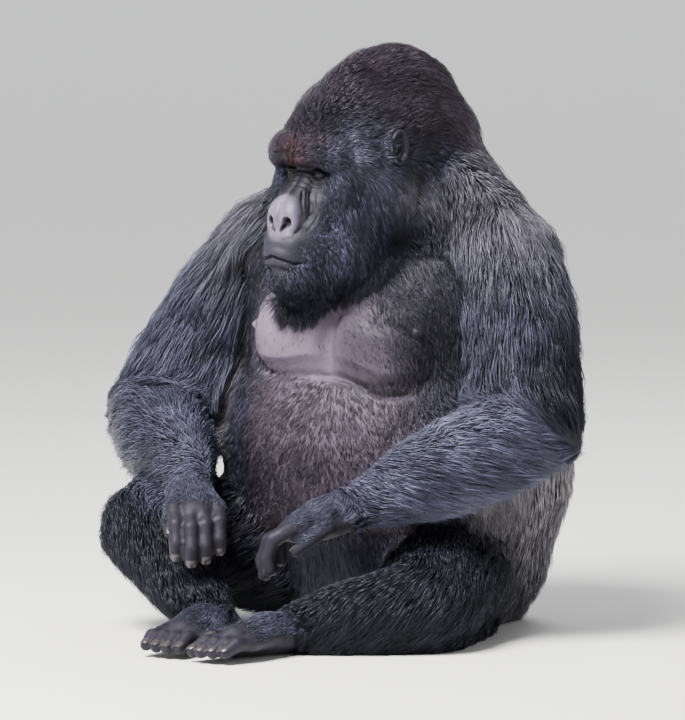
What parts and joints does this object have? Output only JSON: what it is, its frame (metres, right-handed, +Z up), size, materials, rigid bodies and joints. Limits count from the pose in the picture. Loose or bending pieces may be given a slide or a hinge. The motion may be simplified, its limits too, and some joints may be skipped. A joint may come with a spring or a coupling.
{
  "type": "life-size still model of a seated silverback mountain gorilla",
  "caption": "Seated male mountain gorilla, life size, arms across the lap and head turned to its right, as a still display model that rests on the floor.",
  "frame": {"origin": "floor level under the middle of the animal's box, between its seat and its crossed feet", "axes": "+Z up; the trunk faces -Y, so the animal's own left side is +X; the head looks 17 degrees to its own right of -Y"},
  "size_m": [1.0318, 1.0714, 1.128],
  "materials": {
    "coat": "long blue-black hair with a soft grey sheen",
    "saddle": "short silver-grey and brown hair",
    "chest_skin": "bare dark grey skin with a satin sheen and fine wrinkles",
    "bare_skin": "bare grey-black skin, satin",
    "eye": "wet dark brown",
    "nail": "dark horn, satin gloss"
  },
  "bodies": {
    "root": {"head": "coat", "neck": "coat", "chest": "chest_skin", "belly": "saddle", "hips": "saddle", "upper_arm_left": "coat", "upper_arm_right": "coat", "forearm_left": "coat", "forearm_right": "coat", "thigh_left": "coat", "thigh_right": "coat", "shin_left": "coat", "shin_right": "coat", "hand_left": "bare_skin", "hand_right": "bare_skin", "foot_left": "bare_skin", "foot_right": "bare_skin", "ear_left": "bare_skin", "ear_right": "bare_skin", "eye_left": "eye", "eye_right": "eye"}
  },
  "joints": []
}
